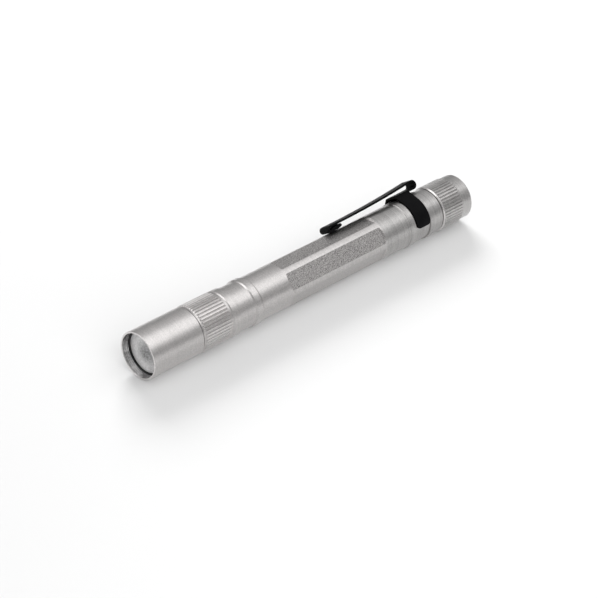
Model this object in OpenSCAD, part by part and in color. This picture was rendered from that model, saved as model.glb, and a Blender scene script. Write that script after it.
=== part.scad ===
// Aluminium pocket penlight for two AAA cells, lying on its side with the clip up.
// Every piece is drawn along its own z axis, which runs from the front rim to the
// tail, with x up; lay_down() then turns that axis to +X. Lengths are millimetres.

/* [Batteries] */
// Diameter of one cell
battery_d = 10.4; // [10:0.05:10.5]
// Length of one cell, nub included
battery_len = 44.5; // [44:0.1:45]
// Diameter of the positive nub
nub_d = 3.8; // [3:0.1:4.5]
// Height of the positive nub
nub_len = 1; // [0.8:0.05:1.3]
// Free space around a cell in the tube, on the radius
battery_gap = 0.15; // [0.1:0.01:0.3]

/* [Tube] */
// Wall of the tube at its two screw ends
spigot_wall = 0.85; // [0.75:0.05:1.2]
// Step on the radius from a screw end up to the body
shoulder_step = 0.65; // [0.55:0.05:1.2]
// Length of the bare neck between the head and the stop collar
neck_len = 5.6; // [3:0.1:9]
// Length of the collar behind the neck
collar_len = 2.6; // [1.5:0.1:4]
// How far that collar stands above the body
collar_rise = 0.35; // [0.15:0.05:0.6]
// Plain length between the collar and the flats
front_barrel_len = 11.4; // [5:0.1:15]
// Length of the six milled flats
flat_len = 38; // [20:0.5:42]
// Depth of each flat below the round body
flat_cut = 0.53; // [0.2:0.01:0.7]
// Turn of the flats about the axis as the penlight lies
flat_roll = 4.5; // [0:0.5:60]
// Length of each small collar beside the clip
clip_collar_len = 2.2; // [1:0.1:3]
// How far the clip collars stand above the body
clip_collar_rise = 0.2; // [0.1:0.01:0.4]
// Depth of the clip groove below the body
clip_groove_cut = 0.15; // [0.05:0.01:0.3]
// Length of the waist in front of the tail cap
waist_len = 3.5; // [1.5:0.1:5]
// Depth of that waist below the body
waist_cut = 0.12; // [0:0.01:0.3]

/* [Head] */
// Length of the head
head_len = 32.6; // [31:0.1:38]
// Wall of the head around the screw socket
head_wall = 0.95; // [0.85:0.05:1.6]
// Wall of the thin front rim
rim_wall = 0.53; // [0.4:0.01:0.8]
// Length of the plain ring behind the fluted band
rear_ring_len = 2.7; // [2:0.1:5]
// Length of the fluted band with its two end grooves
band_len = 11.8; // [6:0.1:14]
// Depth of the rim recess in front of the retaining ring
recess_depth = 2.3; // [1:0.1:3]

/* [Optics] */
// Height of the lens dome
dome_h = 1.8; // [1:0.1:2.2]
// Thickness of the lens edge
lens_edge = 1.3; // [0.8:0.1:1.6]
// Thickness of the ring that holds the lens
lens_ring_t = 0.8; // [0.6:0.05:1.2]
// Width of that ring across its face
lens_ring_w = 0.65; // [0.5:0.05:1.3]
// Thickness of the flat seal behind the lens
lens_seal_t = 0.4; // [0.3:0.05:0.6]
// Length of the reflector cup
reflector_len = 7.1; // [6:0.1:8]
// Side of the square light source
led_side = 3.45; // [2.5:0.05:3.6]
// Diameter of the round board under it
led_board_d = 9.9; // [8:0.1:10.5]

/* [Tail] */
// Length of the tail cap
cap_len = 12.2; // [11.8:0.1:14]
// Wall of the tail cap around the screw socket
cap_wall = 0.75; // [0.7:0.05:1.2]
// Gap that shows between the tube's shoulder and the cap
cap_gap = 0.25; // [0.1:0.05:0.4]
// Length of the cap's fluted band
cap_band_len = 7.7; // [5:0.1:8]
// How far the plain step behind that band is below the cap's surface
cap_step = 0.28; // [0.2:0.01:0.4]
// Thickness of the cap's end wall
end_wall = 1.8; // [1.2:0.1:2.2]
// Length of the tube's rear screw end
rear_spigot_len = 5.5; // [4.8:0.1:6]
// Diameter of the push button
button_d = 7; // [5:0.1:7.4]
// How far the button stands out of the cap
button_out = 1.4; // [0.8:0.1:2]
// Travel of the push button
button_travel = 1.3; // [0.6:0.05:1.3]

/* [Flutes and threads] */
// Number of flutes on each band
flutes = 45; // [30:1:60]
// Depth of a flute
flute_depth = 0.33; // [0.15:0.01:0.36]
// How far the lands between the head's flutes stand above its plain surface
flute_rise = 0.07; // [0.05:0.01:0.15]
// Pitch of both screw threads
thread_pitch = 0.75; // [0.5:0.05:1]
// Height of the screw thread
thread_h = 0.3; // [0.15:0.01:0.35]
// Free space between a screw end and its socket, on the radius
thread_gap = 0.1; // [0.05:0.01:0.2]

/* [Clip] */
// Thickness of the clip's spring steel
clip_t = 0.6; // [0.4:0.05:0.8]
// Width of the clip's blade
blade_w = 4.5; // [3:0.1:5]
// Width of the band around the tube
clip_band_w = 5.5; // [4:0.1:8]
// Angle from the blade to either end of the band
band_wrap = 116; // [100:1:135]
// Inner radius of the fold at the tail end
fold_r = 0.85; // [0.6:0.05:1.2]
// Length of the blade from the fold to its straight front part
blade_len = 34; // [28:0.5:36]
// Drop of the blade from the fold to its front
blade_drop = 1.4; // [0.8:0.1:1.5]
// Turn of the clip about the axis as the penlight lies
clip_roll = 34; // [0:1:60]

/* [Hidden] */

// Facets of round surfaces, and of tiny ones
$fn = 96;
small_fn = 32;
// How far every cut runs past the face that it starts from
over = 0.5;
// Usual free space between two loose pieces, on the radius
gap = 0.1;
// Usual chamfer, and the small one that only breaks an edge
chamfer = 0.35;
edge = 0.15;

// Radii, from the cell outwards
battery_r = battery_d / 2;
bore_r = battery_r + battery_gap;
spigot_r = bore_r + spigot_wall;
body_r = spigot_r + shoulder_step;
socket_r = spigot_r + thread_gap;
head_r = socket_r + head_wall;
cap_r = socket_r + cap_wall;
collar_r = body_r + collar_rise;
clip_collar_r = body_r + clip_collar_rise;
clip_groove_r = body_r - clip_groove_cut;
waist_r = body_r - waist_cut;
recess_r = head_r - rim_wall;

// Places along the axis in the head, from the front rim
ring_z = recess_depth;
lens_z = ring_z + lens_ring_t;
seal_z = lens_z + lens_edge;
lip_t = 0.6;
lip_w = 0.5;
lip_z = seal_z + lens_seal_t;
reflector_z = lip_z + lip_t;
gasket_t = 0.8;
gasket_z = reflector_z + reflector_len;
led_board_t = 1;
led_board_z = gasket_z + gasket_t;
flange_t = 1.2;
carrier_z = led_board_z + led_board_t;
tube_z = carrier_z + flange_t;
carrier_len = 5;
driver_t = 1;
driver_inset = 0.1;
driver_z = tube_z + carrier_len - driver_inset - driver_t;
contact_len = 1.6;
battery_z = driver_z + driver_t + contact_len;

// Places along the axis in the tail, from the cells back
spring_len = 3.6;
switch_board_t = 0.8;
switch_ring_t = 0.8;
nose_len = 4.9;
cells_end = battery_z + 2 * battery_len;
switch_board_z = cells_end + spring_len;
nose_z = switch_board_z + switch_board_t;
cap_seat_z = nose_z + nose_len;
tube_end = cap_seat_z - switch_ring_t;
cap_z = tube_end - rear_spigot_len;
cap_end = cap_z + cap_len;
end_wall_z = cap_end - end_wall;
total_len = cap_end + button_out;

// Places along the axis on the outside
collar_z = head_len + neck_len;
flat_z = collar_z + collar_len + front_barrel_len;
clip_side_gap = 0.2;
clip_groove_len = clip_band_w + 2 * clip_side_gap;
clip_groove_z = cap_z - waist_len - clip_collar_len - clip_groove_len;
clip_collar_z = clip_groove_z - clip_collar_len;
band_end = head_len - rear_ring_len;
band_start = band_end - band_len;

// The lands of the flutes, and how they share the pitch with the grooves
land_r = head_r + flute_rise;
groove_share = 0.5;
floor_share = 0.12;
flute_pitch = 360 / flutes;
axis_h = land_r * cos(flute_pitch * groove_share / 2);

// Clip heights over the axis and places along it
clip_gap = 0.05;
ring_in = clip_groove_r + clip_gap;
ring_out = ring_in + clip_t;
roof_rise = 0.55;
roof_in = clip_collar_r + roof_rise;
roof_out = roof_in + clip_t;
clip_z = clip_groove_z + clip_side_gap;
leg_len = 2.5;
fold_z = clip_z + clip_band_w + leg_len;
fold_mid_r = fold_r + clip_t / 2;
fold_h = roof_out + fold_r;
tip_gap = 0.1;
tip_z = fold_z - blade_len;
blade_top = fold_h + fold_mid_r;
blade_low = blade_top - blade_drop;
nose_r = (blade_low - body_r - tip_gap - clip_t / 2) / 2;
nose_h = blade_low - nose_r;
clip_end_gap_deg = 13;

// Half the object's extra reach on the clip's side puts its middle on y = 0
clip_side = (blade_top + clip_t / 2) * sin(clip_roll) + blade_w / 2 * cos(clip_roll);
axis_y = -(max(clip_side, land_r) - land_r) / 2;

// Turns a piece from its own z axis down to +X, with its x axis up
module lay_down() {
    translate([-total_len / 2, axis_y, axis_h])
        rotate([0, 90, 0])
            rotate([0, 0, 180])
                children();
}

// A round piece from its outline of [radius, place along the axis]
module turned(outline) {
    rotate_extrude() polygon(outline);
}

// A plain tube of the axis, solid where its inner radius is zero
module ring(z, length, outer, inner = 0) {
    translate([0, 0, z])
        difference() {
            cylinder(h = length, r = outer);
            if (inner > 0)
                translate([0, 0, -over]) cylinder(h = length + 2 * over, r = inner);
        }
}

// Outline of a cross-section with flutes; a groove is centred straight down
function flute_points(top, low) = [
    for (k = [0 : flutes - 1])
        for (p = [[low, -floor_share / 2], [low, floor_share / 2],
                  [top, groove_share / 2], [top, 1 - groove_share / 2]])
            let (a = 180 + (k + p[1]) * flute_pitch)
                [p[0] * cos(a), p[0] * sin(a)]
];

// A fluted length with its lands at the given radius
module fluted(z, length, top) {
    translate([0, 0, z])
        linear_extrude(length) polygon(flute_points(top, top - flute_depth));
}

// Zigzag outline of a screw thread's crests, from low z to high z
function thread_points(z, length, r) = [
    for (k = [0 : floor(length / thread_pitch) - 1])
        for (p = [[0, 0], [thread_h, 0.4], [thread_h, 0.6]])
            [r - thread_h + p[0], z + (k + p[1]) * thread_pitch]
];

// Seats of the sealing rings on the two screw ends
oring_r = 0.28;
oring_gap = 0.04;
oring_w = 0.7;
oring_mid_r = socket_r - oring_gap - oring_r;
oring_floor_r = oring_mid_r - oring_r;
oring_land = 0.5;
front_oring_z = head_len - oring_land - oring_w;
rear_oring_z = cap_z + oring_land;
front_threads = 9;
front_thread_len = front_threads * thread_pitch;
thread_z = front_oring_z - oring_land - front_thread_len;
rear_thread_z = rear_oring_z + oring_w + oring_land;
rear_thread_len = tube_end - rear_thread_z;
thread_low_r = spigot_r - thread_h;

// The straight-sided space that six milled cutters leave around the flats
module flat_cutters() {
    flat_r = body_r - flat_cut;
    for (k = [0 : 5])
        rotate([0, 0, -flat_roll + 60 * k])
            translate([flat_r, -body_r, flat_z])
                cube([flat_cut + over, 2 * body_r, flat_len]);
}

module body_tube() {
    color("silver") difference() {
        turned(concat(
            [[bore_r, tube_z], [thread_low_r, tube_z]],
            thread_points(thread_z, front_thread_len, spigot_r),
            [[thread_low_r, thread_z + front_thread_len],
             [spigot_r, front_oring_z - oring_land / 2],
             [spigot_r, front_oring_z], [oring_floor_r, front_oring_z],
             [oring_floor_r, front_oring_z + oring_w], [spigot_r, front_oring_z + oring_w],
             [spigot_r, head_len],
             [body_r, head_len], [body_r, collar_z],
             [collar_r - chamfer, collar_z], [collar_r, collar_z + chamfer],
             [collar_r, collar_z + collar_len - edge],
             [collar_r - edge, collar_z + collar_len], [body_r, collar_z + collar_len],
             [body_r, clip_collar_z], [clip_collar_r, clip_collar_z + clip_collar_rise],
             [clip_collar_r, clip_groove_z], [clip_groove_r, clip_groove_z],
             [clip_groove_r, clip_groove_z + clip_groove_len],
             [clip_collar_r, clip_groove_z + clip_groove_len],
             [clip_collar_r, cap_z - waist_len - edge],
             [clip_collar_r - edge, cap_z - waist_len], [waist_r, cap_z - waist_len],
             [waist_r, cap_z - cap_gap], [spigot_r, cap_z - cap_gap],
             [spigot_r, rear_oring_z], [oring_floor_r, rear_oring_z],
             [oring_floor_r, rear_oring_z + oring_w], [spigot_r, rear_oring_z + oring_w],
             [spigot_r, rear_thread_z - oring_land / 2]],
            thread_points(rear_thread_z, rear_thread_len, spigot_r),
            [[thread_low_r, tube_end], [bore_r, tube_end]]));
        flat_cutters();
    }
}

// A rubber ring seated in a groove at the given place
module oring(z) {
    color("dimgray")
        translate([0, 0, z + oring_w / 2])
            rotate_extrude() translate([oring_mid_r, 0]) circle(r = oring_r, $fn = small_fn);
}

module front_oring() { oring(front_oring_z); }

module rear_oring() { oring(rear_oring_z); }

// Brass carrier pressed into the tube, a flange in front and a cup behind
carrier_r = bore_r - gap / 2;
cup_wall = 0.7;
cup_front = 1.4;
wire_r = 0.9;

module led_carrier() {
    color("goldenrod") turned([
        [wire_r, carrier_z], [thread_low_r, carrier_z], [thread_low_r, tube_z],
        [carrier_r, tube_z], [carrier_r, tube_z + carrier_len],
        [carrier_r - cup_wall, tube_z + carrier_len],
        [carrier_r - cup_wall, tube_z + cup_front], [wire_r, tube_z + cup_front]]);
}

module led_board() {
    color("whitesmoke") ring(led_board_z, led_board_t, led_board_d / 2);
}

// Light source: a square ceramic base and a clear dome, facing the lens
led_base_t = 0.7;
led_dome_r = 1.3;

module led_emitter() {
    color("gold") {
        translate([-led_side / 2, -led_side / 2, led_board_z - led_base_t])
            cube([led_side, led_side, led_base_t]);
        intersection() {
            translate([0, 0, led_board_z - led_base_t]) sphere(r = led_dome_r, $fn = 48);
            ring(led_board_z - led_base_t - led_dome_r, led_dome_r + led_base_t / 2,
                 led_dome_r + over);
        }
    }
}

// White centring ring between the reflector and the board
gasket_w = 1.1;
gasket_in = led_side * sqrt(2) / 2 + gap;

module led_gasket() {
    color("white") ring(gasket_z, gasket_t, gasket_in + gasket_w, gasket_in);
}

// Two insulated wires through the carrier's hole, from the driver to the light source
module lead_wires() {
    lead_r = 0.3;
    color("red")
        for (s = [-1, 1])
            translate([0, s * wire_r / 2, carrier_z])
                cylinder(h = driver_z - carrier_z, r = lead_r, $fn = small_fn);
}

driver_r = carrier_r - cup_wall - gap;

module driver_board() {
    color("green") ring(driver_z, driver_t, driver_r);
}

// Coil, chip and two small blocks on the board's front face
coil_r = 1.3;
coil_h = 1.5;
chip_side = 2.2;
chip_h = 0.8;
block_side = 1.1;

module driver_parts() {
    color("dimgray") {
        translate([driver_r / 2, 0, driver_z - coil_h])
            cylinder(h = coil_h, r = coil_r, $fn = small_fn);
        translate([-driver_r / 2 - chip_side / 2, -chip_side / 2, driver_z - chip_h])
            cube([chip_side, chip_side, chip_h]);
        for (s = [-1, 1])
            translate([-block_side / 2, s * driver_r / 2 - block_side / 2, driver_z - chip_h])
                cube([block_side, block_side, chip_h]);
    }
}

module front_contact() {
    pad_t = 0.4;
    pad_r = 2.4;
    stud_r = 1.4;
    color("goldenrod") turned([
        [0, driver_z + driver_t], [pad_r, driver_z + driver_t],
        [pad_r, driver_z + driver_t + pad_t], [stud_r, driver_z + driver_t + pad_t],
        [stud_r, battery_z - edge], [stud_r - edge, battery_z], [0, battery_z]]);
}

// One cell with its nub towards the head
module battery(z) {
    color("dodgerblue") turned([
        [0, z], [nub_d / 2 - edge, z], [nub_d / 2, z + edge], [nub_d / 2, z + nub_len],
        [battery_r - chamfer, z + nub_len], [battery_r, z + nub_len + chamfer],
        [battery_r, z + battery_len - edge], [battery_r - edge, z + battery_len],
        [0, z + battery_len]]);
}

module battery_front() { battery(battery_z); }

module battery_rear() { battery(battery_z + battery_len); }

// Grooves that close the head's fluted band at both ends
end_groove_w = 0.9;
end_groove_cut = 0.3;

module head_sleeve() {
    core_r = land_r - flute_depth;
    groove_r = head_r - end_groove_cut;
    lip_r = socket_r - lip_w;
    color("silver") difference() {
        union() {
            turned([
                [0, 0], [head_r - edge, 0], [head_r, edge],
                [head_r, band_start - edge], [groove_r, band_start],
                [groove_r, band_start + end_groove_w],
                [core_r - edge, band_start + end_groove_w],
                [core_r - edge, band_end - end_groove_w],
                [groove_r, band_end - end_groove_w], [groove_r, band_end - edge],
                [head_r, band_end + edge],
                [head_r, head_len - edge], [head_r - edge, head_len], [0, head_len]]);
            fluted(band_start + end_groove_w, band_len - 2 * end_groove_w, land_r);
        }
        turned([
            [0, -over], [recess_r + edge, -over], [recess_r + edge, 0], [recess_r, edge],
            [recess_r, lip_z], [lip_r, lip_z], [lip_r, reflector_z],
            [socket_r, reflector_z], [socket_r, head_len + over], [0, head_len + over]]);
    }
}

module lens_ring() {
    outer = recess_r - gap / 2;
    inner = outer - lens_ring_w;
    color("black") turned([
        [inner + edge, ring_z], [outer, ring_z], [outer, lens_z], [inner, lens_z],
        [inner, ring_z + edge]]);
}

// Plano-convex lens: a round cap of a ball on a flat edge
module lens() {
    dome_r = recess_r - gap / 2 - lens_ring_w - gap;
    ball_r = (dome_r * dome_r + dome_h * dome_h) / (2 * dome_h);
    color("lightcyan") {
        ring(lens_z, lens_edge, recess_r - gap);
        intersection() {
            translate([0, 0, lens_z + ball_r - dome_h]) sphere(r = ball_r);
            ring(lens_z - dome_h - over, dome_h + over + lens_edge / 2, dome_r);
        }
    }
}

module lens_seal() {
    color("dimgray") ring(seal_z, lens_seal_t, recess_r - gap, socket_r - lip_w);
}

// Polished cup; its inner wall is a parabola
module reflector() {
    mouth_r = socket_r - lip_w - gap;
    throat_r = led_dome_r + 2 * gap;
    outer = socket_r - gap;
    tail_r = gasket_in + gasket_w;
    steps = 14;
    wall_share = 0.35;
    curve = [
        for (k = [0 : steps])
            let (t = k / steps)
                [throat_r + (mouth_r - throat_r) * sqrt(t),
                 reflector_z + reflector_len * (1 - t)]
    ];
    color("gainsboro") turned(concat(
        curve,
        [[outer, reflector_z], [outer, reflector_z + reflector_len * wall_share],
         [tail_r, reflector_z + reflector_len]]));
}

// Middle line of the clip's blade in [place along the axis, height]: a long shallow
// arc down from the fold, a straight front, the rolled nose and the turned-up toe
blade_flat = 2;
toe_run = 1.6;
toe_tail = 3;
toe_rise = 0.7;
seam = 0.05;
blade_steps = 16;
nose_steps = 12;
blade_slope = atan(2 * blade_drop / (blade_len - blade_flat));
fold_end = [fold_z - fold_mid_r * sin(blade_slope), fold_h + fold_mid_r * cos(blade_slope)];

blade_line = concat(
    [fold_end + seam * [cos(blade_slope), sin(blade_slope)]],
    [for (k = [0 : blade_steps])
        let (t = 1 - k / blade_steps, flat_end = tip_z + blade_flat)
            [flat_end + (fold_end[0] - flat_end) * t,
             blade_low + (fold_end[1] - blade_low) * t * t]],
    [for (k = [0 : nose_steps])
        let (t = 90 + 180 * k / nose_steps)
            [tip_z + nose_r * cos(t), nose_h + nose_r * sin(t)]],
    [[tip_z + toe_run, nose_h - nose_r],
     [tip_z + toe_run + toe_tail, nose_h - nose_r + toe_rise]]);

leg_line = [
    [clip_z + clip_band_w - over, roof_in + clip_t / 2],
    [fold_z + seam, roof_in + clip_t / 2]];

// Unit normal of a line at one of its points
function line_normal(line, k) =
    let (a = line[max(k - 1, 0)],
         b = line[min(k + 1, len(line) - 1)],
         d = b - a)
        [-d[1], d[0]] / norm(d);

// Outline of a strip of even thickness along a line
function strip_outline(line, t) = concat(
    [for (k = [0 : len(line) - 1]) line[k] + line_normal(line, k) * t / 2],
    [for (k = [len(line) - 1 : -1 : 0]) line[k] - line_normal(line, k) * t / 2]);

// Stands a flat shape of [height, place along the axis] up on the clip's middle plane
module on_clip_plane(width) {
    rotate([0, 0, -clip_roll])
        translate([0, width / 2, 0])
            rotate([90, 0, 0])
                linear_extrude(width) children();
}

// A bent strip of sheet along a line
module strip(line) {
    on_clip_plane(blade_w) polygon([for (p = strip_outline(line, clip_t)) [p[1], p[0]]]);
}

// Part of the round fold between two angles, both measured from straight up
module fold(from, to) {
    reach = 2 * (fold_r + clip_t);
    on_clip_plane(blade_w)
        translate([fold_h, fold_z])
            intersection() {
                difference() {
                    circle(r = fold_r + clip_t, $fn = 48);
                    circle(r = fold_r, $fn = 48);
                }
                polygon(concat([[0, 0]], [
                    for (k = [0 : 4])
                        let (a = from + (to - from) * k / 4)
                            [reach * cos(a), reach * sin(a)]
                ]));
            }
}

// Cross-section of a ring with a raised flat roof on its +x side
module roofed_disc(r, roof, half_w) {
    reach = norm([roof, half_w]);
    touch = atan2(half_w, roof) + acos(r / reach);
    circle(r = r);
    polygon([[0, 0], [r * cos(touch), -r * sin(touch)], [roof, -half_w],
             [roof, half_w], [r * cos(touch), r * sin(touch)]]);
}

// Rounds off the two corners at one end of the clip's band
module band_end_corners(side) {
    corner_r = 1.2;
    rotate([0, 0, side * (band_wrap - 180 / PI * corner_r / ring_out)])
        for (m = [0, 1])
            translate([0, 0, clip_z + clip_band_w / 2])
                mirror([0, 0, m])
                    translate([0, 0, clip_band_w / 2 - corner_r])
                        difference() {
                            translate([ring_in - over, side > 0 ? 0 : -2 * corner_r, 0])
                                cube([clip_t + 2 * over, 2 * corner_r, corner_r + over]);
                            translate([ring_in - 2 * over, 0, 0])
                                rotate([0, 90, 0])
                                    cylinder(h = clip_t + 4 * over, r = corner_r);
                        }
}

module clip_band() {
    roof_half = blade_w / 2;
    reach = 2 * ring_out;
    color("#1c1c1e") {
        rotate([0, 0, -clip_roll]) difference() {
            translate([0, 0, clip_z]) linear_extrude(clip_band_w) difference() {
                roofed_disc(ring_out, roof_out, roof_half);
                roofed_disc(ring_in, roof_in, roof_half - clip_t / 2);
                polygon([[0, 0], [reach * cos(band_wrap), reach * sin(band_wrap)],
                         [-reach, reach], [-reach, -reach],
                         [reach * cos(band_wrap), -reach * sin(band_wrap)]]);
            }
            band_end_corners(1);
            band_end_corners(-1);
        }
        strip(leg_line);
        fold(90, 180);
    }
}

module clip_blade() {
    color("#1c1c1e") {
        strip(blade_line);
        fold(-blade_slope, 90 - clip_end_gap_deg);
    }
}

button_r = button_d / 2;
button_hole_r = button_r + gap;
button_flange_t = 0.7;
button_flange_w = 1;
button_flange_r = button_r + button_flange_w;
seal_t = 0.3;
seal_front_z = end_wall_z - seal_t;
button_z = seal_front_z - button_flange_t;
chamber_r = socket_r - lip_w;

module tail_cap() {
    land_top = cap_r - 0.2 * edge;
    core_r = land_top - flute_depth - edge;
    step_r = cap_r - cap_step;
    band_front = cap_z + chamfer + edge;
    band_back = band_front + cap_band_len;
    color("silver") difference() {
        union() {
            turned([
                [0, cap_z], [cap_r - chamfer, cap_z], [cap_r, cap_z + chamfer],
                [cap_r, band_front], [core_r, band_front], [core_r, band_back],
                [step_r, band_back], [step_r, cap_end - chamfer],
                [step_r - chamfer, cap_end], [0, cap_end]]);
            fluted(band_front, cap_band_len, land_top);
        }
        turned([
            [0, cap_z - over], [socket_r, cap_z - over], [socket_r, cap_seat_z],
            [chamber_r, cap_seat_z], [chamber_r, end_wall_z],
            [button_hole_r, end_wall_z], [button_hole_r, cap_end - edge],
            [button_hole_r + edge, cap_end], [button_hole_r + edge, cap_end + over],
            [0, cap_end + over]]);
    }
}

nose_r_out = bore_r - 3 * gap;

module switch_ring() {
    color("goldenrod") ring(tube_end, switch_ring_t, socket_r - gap, nose_r_out + gap);
}

// Click switch: a round nose in the tube, a flange in the cap, a square-edged well
well_r = 1.6;
housing_end = button_z - button_travel - gap;

module switch_housing() {
    well_z = nose_z + nose_len / 3;
    color("#26262a") turned([
        [0, nose_z], [nose_r_out, nose_z], [nose_r_out, cap_seat_z],
        [chamber_r - gap, cap_seat_z], [chamber_r - gap, housing_end],
        [well_r, housing_end], [well_r, well_z], [0, well_z]]);
}

module switch_board() {
    color("green") ring(switch_board_z, switch_board_t, nose_r_out - gap);
}

// Battery spring: one unbroken wire wound as a cone, wide at the board
wire_d = 0.6;
coil_turns = 3;
coil_small_r = 1.9;
coil_wide_r = 3.8;
ring_sides = 6;
rings_a_turn = 16;
coil_rings = coil_turns * rings_a_turn;
coil_rise = spring_len - wire_d;

function coil_point(k) =
    let (t = k / coil_rings, a = 360 * coil_turns * t, r = coil_small_r
         + (coil_wide_r - coil_small_r) * t)
        [r * cos(a), r * sin(a), cells_end + wire_d / 2 + coil_rise * t];

coil_route = [for (k = [0 : coil_rings]) coil_point(k)];
coil_least_gap = min([
    for (i = [0 : coil_rings]) for (j = [i + rings_a_turn / 2 : coil_rings])
        norm(coil_route[i] - coil_route[j])]) - wire_d;
echo("least gap between the spring's turns", coil_least_gap);

function coil_ring(k) =
    let (a = 360 * coil_turns * k / coil_rings,
         out = [cos(a), sin(a), 0])
        [for (s = [0 : ring_sides - 1])
            let (b = 360 * s / ring_sides)
                coil_route[k] + wire_d / 2 * (cos(b) * out + sin(b) * [0, 0, 1])];

module tail_spring() {
    last = coil_rings * ring_sides;
    points = [for (k = [0 : coil_rings]) each coil_ring(k)];
    sides = [
        for (k = [0 : coil_rings - 1]) for (s = [0 : ring_sides - 1])
            let (a = k * ring_sides + s, b = k * ring_sides + (s + 1) % ring_sides)
                each [[a, b, b + ring_sides], [a, b + ring_sides, a + ring_sides]]
    ];
    ends = concat(
        [for (s = [1 : ring_sides - 2]) [0, s + 1, s]],
        [for (s = [1 : ring_sides - 2]) [last, last + s, last + s + 1]]);
    color("lightgray") polyhedron(points = points, faces = concat(sides, ends));
}

module button_seal() {
    color("dimgray") ring(seal_front_z, seal_t, chamber_r - gap, button_hole_r);
}

module tail_button() {
    dome = 0.5 * button_out;
    color("#2b2b2e") turned([
        [0, button_z], [button_flange_r, button_z], [button_flange_r, seal_front_z],
        [button_r, seal_front_z], [button_r, total_len - dome],
        [button_r - 0.3 * dome, total_len - 0.4 * dome], [button_r - dome, total_len - 0.1 * dome],
        [button_r - 2 * dome, total_len], [0, total_len]]);
}

module switch_plunger() {
    plunger_z = nose_z + nose_len / 3 + button_travel + gap;
    color("ivory") ring(plunger_z, button_z - plunger_z, well_r - gap);
}

// Figures that the record states, in the model's own frame
function placed(p) = [p[2] - total_len / 2, axis_y - p[1], axis_h + p[0]];
clip_dir = [cos(-clip_roll), sin(-clip_roll)];
echo("clip hinge", placed([fold_h * clip_dir[0], fold_h * clip_dir[1], fold_z]));
echo("axis at the front rim", placed([0, 0, 0]), "length", total_len);
echo("head radius", head_r, "body radius", body_r, "land radius", land_r);
echo("tube", tube_z, tube_end, "cap", cap_z, cap_end, "head", head_len);
echo("collar", collar_z, "flats", flat_z, flat_z + flat_len, "clip collar", clip_collar_z);
echo("front thread length", front_thread_len, "rear thread length", rear_thread_len);

lay_down() body_tube();
lay_down() front_oring();
lay_down() rear_oring();
lay_down() led_carrier();
lay_down() led_board();
lay_down() led_emitter();
lay_down() led_gasket();
lay_down() lead_wires();
lay_down() driver_board();
lay_down() driver_parts();
lay_down() front_contact();
lay_down() battery_front();
lay_down() battery_rear();
lay_down() head_sleeve();
lay_down() lens_ring();
lay_down() lens();
lay_down() lens_seal();
lay_down() reflector();
lay_down() clip_band();
lay_down() clip_blade();
lay_down() tail_cap();
lay_down() switch_ring();
lay_down() switch_housing();
lay_down() switch_board();
lay_down() tail_spring();
lay_down() button_seal();
lay_down() tail_button();
lay_down() switch_plunger();
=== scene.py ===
# Aluminium penlight on a white table, seen from the head end.
# Sizes in the dictionaries are millimetres along the tube (u, from the front rim)
# and out from its axis (r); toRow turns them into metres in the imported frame.
import bpy
import bmesh
import math
import numpy as np
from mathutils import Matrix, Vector


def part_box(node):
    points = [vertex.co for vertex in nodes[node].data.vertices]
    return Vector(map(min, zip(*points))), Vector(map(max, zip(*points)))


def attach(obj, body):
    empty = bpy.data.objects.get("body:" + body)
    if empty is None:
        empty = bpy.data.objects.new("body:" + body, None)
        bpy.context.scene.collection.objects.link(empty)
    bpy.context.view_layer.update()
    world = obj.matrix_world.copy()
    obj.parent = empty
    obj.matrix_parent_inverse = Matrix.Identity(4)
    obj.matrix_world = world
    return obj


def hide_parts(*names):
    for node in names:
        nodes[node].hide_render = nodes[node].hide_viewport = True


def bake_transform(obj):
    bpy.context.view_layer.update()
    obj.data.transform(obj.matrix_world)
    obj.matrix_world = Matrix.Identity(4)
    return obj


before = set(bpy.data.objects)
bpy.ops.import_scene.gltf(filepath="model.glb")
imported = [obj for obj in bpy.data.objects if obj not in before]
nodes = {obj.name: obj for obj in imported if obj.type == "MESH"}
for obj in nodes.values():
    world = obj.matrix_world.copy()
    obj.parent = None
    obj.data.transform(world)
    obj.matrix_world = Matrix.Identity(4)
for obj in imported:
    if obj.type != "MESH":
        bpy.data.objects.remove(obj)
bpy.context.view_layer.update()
print("frame loaded:", len(nodes), "nodes")

# The tube's axis is the lens's own.
lensLow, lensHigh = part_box("lens")
axisY = (lensLow.y + lensHigh.y) / 2
axisZ = (lensLow.z + lensHigh.z) / 2
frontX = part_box("head_sleeve")[0].x
# Too little to see: it parts rows that would fall together, and widens a limit.
hair = 0.01


# Shapes

def toRow(u, r, angle):
    # x = front + u, y = axis + r sin(angle), z = axis + r cos(angle); mm become m.
    # The angle is 0 straight up and grows away from the camera.
    u, r, angle = np.broadcast_arrays(u, r, angle)
    return np.stack([frontX + u / 1000, axisY + r * np.sin(angle) / 1000,
                     axisZ + r * np.cos(angle) / 1000], axis=-1)


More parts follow.
